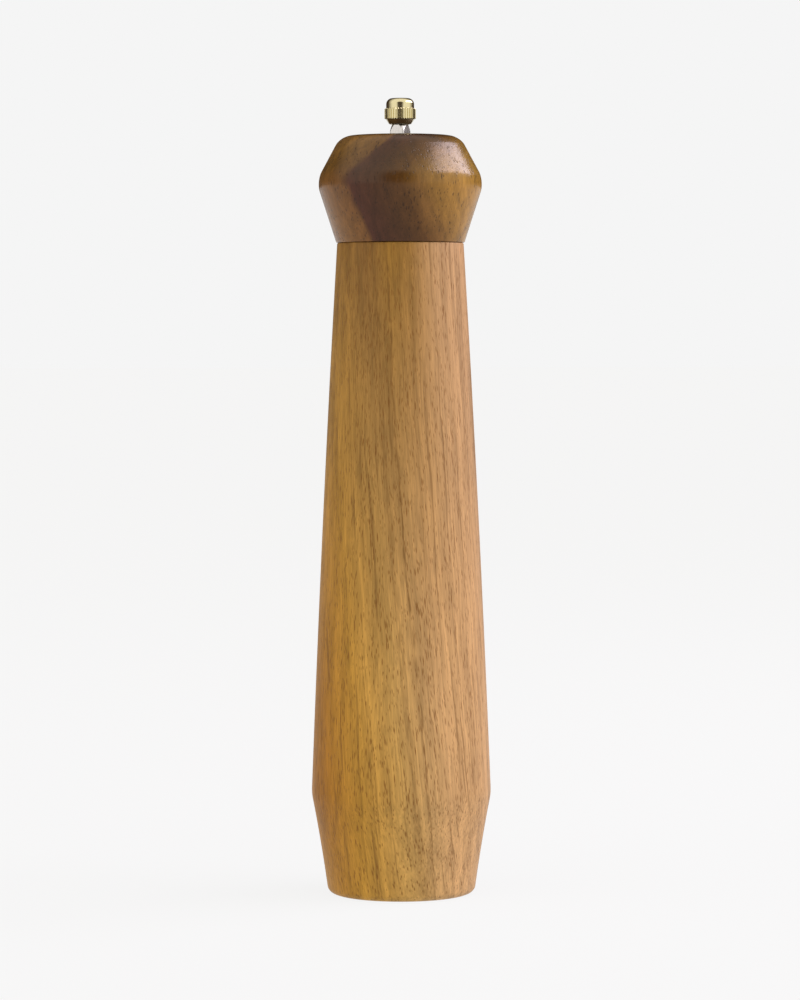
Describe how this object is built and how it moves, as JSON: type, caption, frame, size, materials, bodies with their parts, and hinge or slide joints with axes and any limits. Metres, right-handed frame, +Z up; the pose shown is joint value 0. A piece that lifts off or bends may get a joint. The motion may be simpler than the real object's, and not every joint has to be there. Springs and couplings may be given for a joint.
{
  "type": "pepper mill",
  "caption": "Tall turned wooden pepper mill with a faceted head, square drive shaft, knurled adjusting nut and a ceramic burr grinder in the foot.",
  "frame": {"origin": "centre of the foot, in the plane that the mill stands on", "axes": "+Z up along the mill's axis, -Y towards the front"},
  "size_m": [0.0688, 0.0688, 0.305],
  "materials": {
    "body_wood": "oiled satin",
    "head_wood": "oiled satin",
    "gilt_nut": "polished, pale gilt",
    "shaft_metal": "drawn",
    "stamped_steel": "stamped and brushed",
    "screw_steel": "zinc plated",
    "spring_steel": "drawn wire",
    "grey_plastic": "moulded",
    "white_nylon": "moulded",
    "burr_ceramic": "fired, unglazed"
  },
  "bodies": {
    "mill_body": {"body": "body_wood", "grinder_housing": "grey_plastic", "bearing_bridge": "grey_plastic", "stator_burr": "burr_ceramic", "base_plate": "stamped_steel", "base_plate_screw_1": "screw_steel", "base_plate_screw_2": "screw_steel"},
    "bearing": {"shaft_bush": "white_nylon", "rotor_spring": "spring_steel"},
    "spindle": {"drive_shaft": "shaft_metal", "rotor_burr": "burr_ceramic", "spring_washer": "stamped_steel", "rotor_washer": "stamped_steel", "retaining_clip": "spring_steel"},
    "head": {"head": "head_wood", "drive_plate": "stamped_steel", "drive_plate_screw_1": "screw_steel", "drive_plate_screw_2": "screw_steel"},
    "nut": {"adjusting_nut": "gilt_nut"}
  },
  "joints": [
    {"name": "head_turn", "type": "hinge", "parent": "mill_body", "child": "bearing", "pos_m": [0, 0, 0.03], "axis": [0, 0, 1], "continuous": true},
    {"name": "grind_adjust", "type": "slide", "parent": "bearing", "child": "spindle", "axis": [0, 0, 1], "range_m": [0, 0.0015], "stiffness_N_per_m": 1000, "springref_m": -0.003, "deforming": ["rotor_spring"]},
    {"name": "head_lift", "type": "slide", "parent": "bearing", "child": "head", "axis": [0, 0, 1], "range_m": [0, 0.075]},
    {"name": "nut_turn", "type": "hinge", "parent": "head", "child": "nut", "pos_m": [0, 0, 0.3], "axis": [0, 0, 1], "range_deg": [-540, 0]}
  ],
  "couplings": [
    {"joint": "nut_turn", "follows": "grind_adjust", "rad_per_m": -6283}
  ]
}
